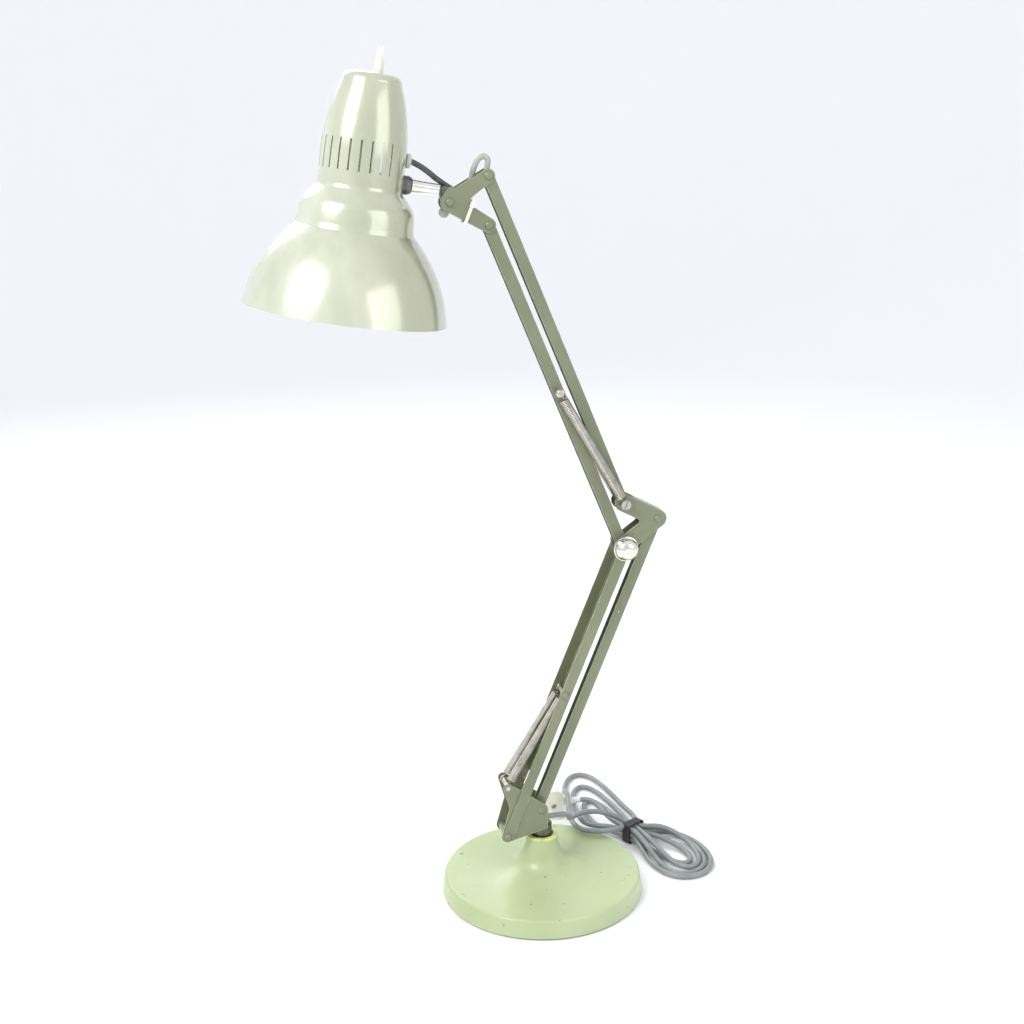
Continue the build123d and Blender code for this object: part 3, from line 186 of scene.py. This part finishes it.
def shade_paint():
    """Glossy silver-green paint outside and white inside, told apart by where the surface faces, with
    painted shade down the right side outside.
    """
    s = Shader("shade_paint")
    middle = SHADE_RIM + Vector((sin(SHADE_LEAN), 0, cos(SHADE_LEAN))) * 0.04
    outward = s.vector("MULTIPLY", s.vector("SUBTRACT", s.place, middle), (1, 1, 0))
    normal = s.tree.nodes.new("ShaderNodeTexCoord").outputs["Normal"]
    inside = s.steps(s.vector("DOT_PRODUCT", outward, normal, "Value"), -0.0005, -0.002)
    streak = s.noise(26.0, 5.0, (1, 1, 0.25))
    outer = s.mix(s.steps(streak, 0.32, 0.7), (0.52, 0.55, 0.42), (0.66, 0.68, 0.55))
    # Painted shade: the outside is mixed towards a dark warm olive on its right, +x side.
    painted_side_shade = s.steps(s.axes()["X"], -0.235, -0.15)
    outer = s.mix(s.math("MULTIPLY", painted_side_shade, 0.45), outer, (0.36, 0.35, 0.2))
    chips = s.steps(s.noise(150.0, 8.0), 0.72, 0.75)
    outer = s.mix(s.math("MULTIPLY", chips, 0.7), outer, (0.3, 0.3, 0.22))
    s.bump(s.noise(320.0, 2.0), 0.0001, 0.15)
    colour = s.mix(inside, outer, (0.83, 0.83, 0.78))
    rough = s.mix(inside, (0.2, 0.2, 0.2), (0.45, 0.45, 0.45))
    metallic = s.math("MULTIPLY", s.math("SUBTRACT", 1.0, inside), 0.45)
    return s.finish(colour, rough, metallic, 0.7, 0.07)


def flex_material(name, light, dark):
    s = Shader(name)
    soil = s.noise(60.0, 5.0)
    s.bump(s.noise(900.0, 2.0), 0.0001, 0.25)
    return s.finish(s.mix(s.steps(soil, 0.34, 0.68), light, dark),
                    s.steps(soil, 0.3, 0.7, 0.38, 0.52), 0.0, 0.1)


def glass():
    s = Shader("bulb_glass")
    s.bsdf.inputs["Transmission Weight"].default_value = 0.85
    s.bsdf.inputs["IOR"].default_value = 1.45
    fine = s.noise(60.0)
    return s.finish((0.95, 0.95, 0.92), s.steps(fine, 0.3, 0.7, 0.22, 0.32))


FLEX_MID = flex_material("flex", (0.265, 0.285, 0.28), (0.205, 0.225, 0.22))
# Darker copy of the same flex, painted shade: used for the head leads and the cord inside the shade.
FLEX_PAINTED_SHADE = flex_material("flex_painted_shade", (0.07, 0.08, 0.07), (0.045, 0.05, 0.045))
# Paler copy of the same flex, painted highlight: used for the cord loop over the head bracket.
FLEX_PAINTED_HIGHLIGHT = flex_material("flex_painted_highlight", (0.4, 0.41, 0.37), (0.3, 0.31, 0.28))
SPRING_STEEL = metal("spring_steel", (0.66, 0.64, 0.58), (0.48, 0.46, 0.4), 0.3)
SLOT_MATERIALS = {
    "base_enamel": base_paint(),
    "felt": moulded("felt", (0.03, 0.03, 0.028), (0.05, 0.05, 0.045), 0.9, 2500.0),
    "brass": metal("brass", (0.72, 0.53, 0.22), (0.5, 0.36, 0.14), 0.32),
    "flex": FLEX_MID,
    "flex_bundle": FLEX_MID,
    "tie": moulded("tie_band", (0.028, 0.028, 0.026), (0.05, 0.05, 0.047), 0.62, 1500.0),
    "white_plastic": moulded("white_plastic", (0.8, 0.79, 0.7), (0.66, 0.64, 0.54), 0.3, 500.0, 0.2),
    "arm_enamel": enamel("arm_enamel", (0.235, 0.25, 0.155), (0.175, 0.19, 0.115), (0.56, 0.57, 0.44), 0.7,
                         0.0011, 0.36, 0.3, 0.25),
    "dark_steel": metal("dark_steel", (0.2, 0.2, 0.18), (0.1, 0.1, 0.09), 0.36),
    "bright_steel": metal("bright_steel", (0.62, 0.6, 0.54), (0.42, 0.4, 0.34), 0.3),
    "spring_steel": SPRING_STEEL,
    "chrome": metal("chrome", (0.86, 0.85, 0.8), (0.72, 0.7, 0.62), 0.1),
    "shade_paint": shade_paint(),
    "bulb_glass": glass(),
    "cap_metal": metal("cap_metal", (0.7, 0.69, 0.64), (0.5, 0.49, 0.44), 0.3),
    "grommet": moulded("grommet", (0.55, 0.55, 0.49), (0.42, 0.42, 0.37), 0.4),
}
# The cord loop takes the painted-highlight flex, and the cord inside the shade takes the painted-shade flex.
NODE_MATERIALS = {"head_cord_loop": FLEX_PAINTED_HIGHLIGHT, "cord_in_shade": FLEX_PAINTED_SHADE}
for row in frame["record"]["subparts"]:
    node = NODES[row["node"]]
    chosen = NODE_MATERIALS.get(row["node"], SLOT_MATERIALS[row["material_slot"]])
    if not node.material_slots:
        node.data.materials.append(chosen)
    for place in node.material_slots:
        place.material = chosen


# ---- cords --------------------------------------------------------------------------------------
def smooth_line(name, points):
    """Points read from a NURBS spline that has the given control points."""
    curve = bpy.data.curves.new(name + "_route", "CURVE")
    curve.dimensions = "3D"
    spline = curve.splines.new("NURBS")
    spline.points.add(len(points) - 1)
    for target, point in zip(spline.points, points):
        target.co = (*point, 1)
    spline.order_u = 3
    spline.use_endpoint_u = True
    spline.resolution_u = 8
    holder = bpy.data.objects.new(name + "_route", curve)
    bpy.context.scene.collection.objects.link(holder)
    mesh = bpy.data.meshes.new_from_object(holder)
    line = [v.co.copy() for v in mesh.vertices]
    bpy.data.meshes.remove(mesh)
    bpy.data.objects.remove(holder)
    bpy.data.curves.remove(curve)
    kept = [line[0]]
    for point in line[1:]:
        if (point - kept[-1]).length > 1e-5:
            kept.append(point)
    return kept


def tube(name, line, radius, material, sides=14):
    """A round tube whose middle follows the line, closed at both ends."""
    vertices, faces = [], []
    across = None
    for i, point in enumerate(line):
        along = (line[min(i + 1, len(line) - 1)] - line[max(i - 1, 0)]).normalized()
        if across is None:
            across = along.orthogonal().normalized()
        across = (across - along * across.dot(along)).normalized()
        other = along.cross(across)
        for k in range(sides):
            angle = 2 * pi * k / sides
            vertices.append(point + (across * cos(angle) + other * sin(angle)) * radius)
    for i in range(len(line) - 1):
        for k in range(sides):
            a, b = i * sides + k, i * sides + (k + 1) % sides
            faces.append((a, b, b + sides, a + sides))
    faces.append(tuple(reversed(range(sides))))
    faces.append(tuple(range(len(vertices) - sides, len(vertices))))
    mesh = bpy.data.meshes.new(name)
    mesh.from_pydata([tuple(v) for v in vertices], [], faces)
    mesh.polygons.foreach_set("use_smooth", [len(f) == 4 for f in faces])
    mesh.materials.append(material)
    piece = bpy.data.objects.new(name, mesh)
    bpy.context.scene.collection.objects.link(piece)
    return piece


TIE = Vector((0.137, 0.084, 0))
BUNDLE = Vector((0.506, -0.863, 0))      # along the strands, towards the smaller lobe
ACROSS = Vector((0.863, 0.506, 0))
SIDE_COLUMN = 0.0075                     # the tie's middle to the strands on either side
ROWS = (0.0052, 0.0122, 0.0194)          # heights of the strands in the tie
TIE_REACH = 0.009


def in_tie(side, z, towards_lobe):
    """Two points through the tie, in the order that a strand follows them."""
    middle = TIE + ACROSS * side * SIDE_COLUMN + Vector((0, 0, z))
    step = BUNDLE * (TIE_REACH if towards_lobe else -TIE_REACH)
    return [middle - step, middle + step]


# Each loop is (x, y, z) in millimetres, read from where it leaves the tie to where it comes back.
LOBE_LOOPS = [
    [(149, 50, 17), (157, 24, 12), (166, 4, 7), (180, -8, 5), (194, -1, 5), (201, 18, 6), (199, 42, 9),
     (188, 64, 14), (171, 78, 19)],
    [(141, 48, 16), (147, 20, 8), (154, -4, 4), (168, -17, 4), (187, -15, 4), (202, -2, 4), (208, 20, 4),
     (205, 45, 5), (193, 68, 8), (174, 83, 12)],
    [(136, 50, 9), (139, 20, 4), (148, -8, 4), (164, -23, 4), (187, -24, 4), (206, -11, 4), (216, 14, 4),
     (213, 48, 4), (199, 75, 4), (178, 89, 5)],
    [(148, 52, 4), (160, 26, 4), (169, 12, 4), (180, 6, 4), (189, 12, 4), (191, 27, 4), (184, 46, 6),
     (171, 60, 10), (159, 71, 12)],
]
FAN_LOOPS = [
    [(146, 104, 17), (151, 130, 10), (149, 165, 4), (143, 205, 4), (136, 240, 4), (127, 264, 4),
     (112, 272, 4), (97, 261, 4), (86, 236, 4), (78, 206, 12), (73, 176, 31), (69, 148, 34), (63, 122, 33),
     (60, 100, 31), (61, 80, 30), (70, 67, 30), (86, 61, 30), (104, 64, 28), (119, 75, 23)],
    [(138, 108, 11), (140, 132, 6), (137, 165, 4), (130, 198, 4), (122, 224, 4), (110, 236, 4), (98, 227, 4),
     (90, 206, 4), (85, 180, 5), (80, 152, 14), (76, 126, 26), (72, 104, 30), (74, 86, 30), (86, 76, 30),
     (102, 74, 28), (116, 80, 20)],
    [(131, 110, 4), (130, 134, 4), (126, 158, 4), (119, 182, 4), (109, 194, 4), (100, 186, 4), (96, 166, 4),
     (95, 144, 5), (98, 124, 6), (106, 110, 6), (117, 98, 6)],
]
LEAD_IN = [(4.2, 0, 91), (26, 4, 90), (40, 26, 76), (46, 54, 56), (56, 82, 42), (76, 98, 39), (96, 99, 37),
           (112, 98, 31), (124, 98, 24)]
TO_PLUG = [(123, 110, 12), (116, 130, 13), (111, 150, 16), (106, 163, 19), (98, 169, 19), (90, 169, 19),
           (84, 169, 19)]


def metres(points):
    return [Vector(p) / 1000 for p in points]


route = metres(LEAD_IN) + in_tie(0, ROWS[2], True)
for turn, lobe in enumerate(LOBE_LOOPS):
    route += metres(lobe)
    if turn < len(FAN_LOOPS):
        row = ROWS[2 - turn]
        route += in_tie(1, row, False) + metres(FAN_LOOPS[turn]) + in_tie(-1, row, True)
route += in_tie(0, ROWS[1], False) + metres(TO_PLUG)
mains_line = smooth_line("mains_flex", route)
mains_flex = tube("mains_flex", mains_line, MAINS_RADIUS, FLEX_MID)
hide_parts("mains_lead", "cord_hank")
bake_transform(mains_flex)

SHADE_LEAD = [(-133.55, 0, 838.46), (-121.6, 0.6, 833.72), (-108.3, 2.0, 821.72)]
TILT_LEAD = [(-108.3, 2.0, 821.72), (-97.5, 3.9, 813.92), (-87.1, 3.9, 807.32), (-76.1, 3.0, 806.72)]
# The head leads are drawn in the painted-shade copy of the flex.
for name, node, points, bodies in (
        ("head_lead_upper", "head_lead_shade", metres(SHADE_LEAD), ("shade", "tilt")),
        ("head_lead_lower", "head_lead_tilt", metres(TILT_LEAD), ("tilt", "head"))):
    lead = tube(name, smooth_line(name, points), HEAD_LEAD_RADIUS, FLEX_PAINTED_SHADE)
    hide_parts(node)
    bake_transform(lead)


# ---- springs ------------------------------------------------------------------------------------
WIRE_RADIUS, COIL_RADIUS, HOOK_RADIUS = 0.00072, 0.0045, 0.0033
WIRE_PITCH, COIL_STEPS = 0.00175, 12
SPRING_LEAD = 0.0085                     # pin to the first coil
LEAD_GAP = 0.0015


def hook(pin, up, away, first, step):
    """Points round a pin from the first angle on, in degrees."""
    turns = [radians(first + step * k) for k in range(15)]
    return [pin + (up * sin(a) + away * cos(a)) * HOOK_RADIUS for a in turns]


def coil_spring(name, start, end):
    """A close-wound spring with a round hook at each end, as one wire."""
    start, end = Vector(start), Vector(end)
    along = (end - start).normalized()
    out = Vector((0, 1, 0))
    out = (out - along * out.dot(along)).normalized()
    up = along.cross(out)
    line = hook(start, up, -along, -150, 20)
    line.append(start + along * (SPRING_LEAD - LEAD_GAP))
    turns = ((end - start).length - 2 * SPRING_LEAD) / WIRE_PITCH
    for k in range(int(turns * COIL_STEPS) + 1):
        angle = 2 * pi * k / COIL_STEPS
        middle = start + along * (SPRING_LEAD + WIRE_PITCH * k / COIL_STEPS)
        line.append(middle + (up * cos(angle) + out * sin(angle)) * COIL_RADIUS)
    line.append(end - along * (SPRING_LEAD - LEAD_GAP))
    line += hook(end, up, along, -130, -20)
    return tube(name, line, WIRE_RADIUS, SPRING_STEEL, 6)


# Each pair's node, its two bodies, and at each end x, z and how far from the middle the springs are.
SPRINGS = {
    "lower_spring": ("lower_springs", "turret", "lower_arm", (-0.043, 0.1395, 0.011),
                     (0.02418, 0.24775, 0.009)),
    "upper_spring": ("upper_springs", "elbow", "upper_arm", (0.092731, 0.467422, 0.0139),
                     (0.01906, 0.59527, 0.0124)),
}
for name, (node, held, moving, (x0, z0, y0), (x1, z1, y1)) in SPRINGS.items():
    for side, word in ((-1, "near"), (1, "far")):
        spring = coil_spring(f"{name}_{word}", (x0, side * y0, z0), (x1, side * y1, z1))
        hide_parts(node)
        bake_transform(spring)


# ---- floor, backdrop, light and camera ----------------------------------------------------------
def stage_mesh(name, vertices, faces, colour, roughness):
    mesh = bpy.data.meshes.new(name)
    mesh.from_pydata(vertices, [], faces)
    mesh.polygons.foreach_set("use_smooth", [True] * len(faces))
    s = Shader(name)
    mesh.materials.append(s.finish(colour, roughness))
    piece = bpy.data.objects.new(name, mesh)
    bpy.context.scene.collection.objects.link(piece)


FLOOR_RADIUS, COVE_RADIUS, WALL_TOP, STAGE_SIDES = 3.4, 2.0, 4.2, 72
profile = [(0.6, 0.0), (FLOOR_RADIUS, 0.0)]
profile += [(FLOOR_RADIUS + COVE_RADIUS * sin(radians(a)), COVE_RADIUS * (1 - cos(radians(a))))
            for a in range(6, 91, 6)]
profile.append((FLOOR_RADIUS + COVE_RADIUS, WALL_TOP))
stage_points = [(r * cos(2 * pi * k / STAGE_SIDES), r * sin(2 * pi * k / STAGE_SIDES), z)
                for r, z in profile for k in range(STAGE_SIDES)]
stage_faces = [tuple(range(STAGE_SIDES))]
for ring in range(len(profile) - 1):
    for k in range(STAGE_SIDES):
        a, b = ring * STAGE_SIDES + k, ring * STAGE_SIDES + (k + 1) % STAGE_SIDES
        stage_faces.append((a, a + STAGE_SIDES, b + STAGE_SIDES, b))
stage_mesh("studio_floor", stage_points, stage_faces, (0.93, 0.93, 0.935), 0.8)

world = bpy.data.worlds.new("studio")
world.use_nodes = True
sky = world.node_tree.nodes["Background"].inputs
sky["Color"].default_value = (0.93, 0.95, 1.0, 1)
sky["Strength"].default_value = 1.0
bpy.context.scene.world = world


def soft_box(name, place, aim, size, power, colour):
    light = bpy.data.lights.new(name, "AREA")
    light.shape = "RECTANGLE"
    light.size, light.size_y = size
    light.energy = power
    light.color = colour
    lamp = bpy.data.objects.new(name, light)
    lamp.location = place
    lamp.rotation_euler = (Vector(aim) - Vector(place)).to_track_quat("-Z", "Y").to_euler()
    bpy.context.scene.collection.objects.link(lamp)


AIM = (0, 0, 0.4)
soft_box("key", (-1.5, -0.9, 1.9), AIM, (1.0, 1.0), 32, (1.0, 0.98, 0.94))
soft_box("fill", (1.3, -1.6, 1.3), AIM, (1.4, 1.4), 9, (0.92, 0.96, 1.0))
soft_box("back", (-0.5, 1.9, 1.9), AIM, (1.6, 1.0), 22, (1.0, 1.0, 1.0))

CAMERA_PLACE = (-0.34723, -1.49566, 0.89275)
RIGHT = Vector((0.97786883, -0.20898893, -0.00980669))
UP = Vector((0.06578597, 0.26264386, 0.96264761))
FORWARD = Vector((0.19860703, 0.94198823, -0.27057978))
camera_data = bpy.data.cameras.new("camera")
camera_data.sensor_width = 36.0
camera_data.lens = 50.98
camera_data.clip_end = 60.0
camera = bpy.data.objects.new("camera", camera_data)
camera.matrix_world = Matrix.Translation(CAMERA_PLACE) @ Matrix((RIGHT, UP, -FORWARD)).transposed().to_4x4()
bpy.context.scene.collection.objects.link(camera)
bpy.context.scene.camera = camera
bpy.context.scene.view_settings.view_transform = "Standard"
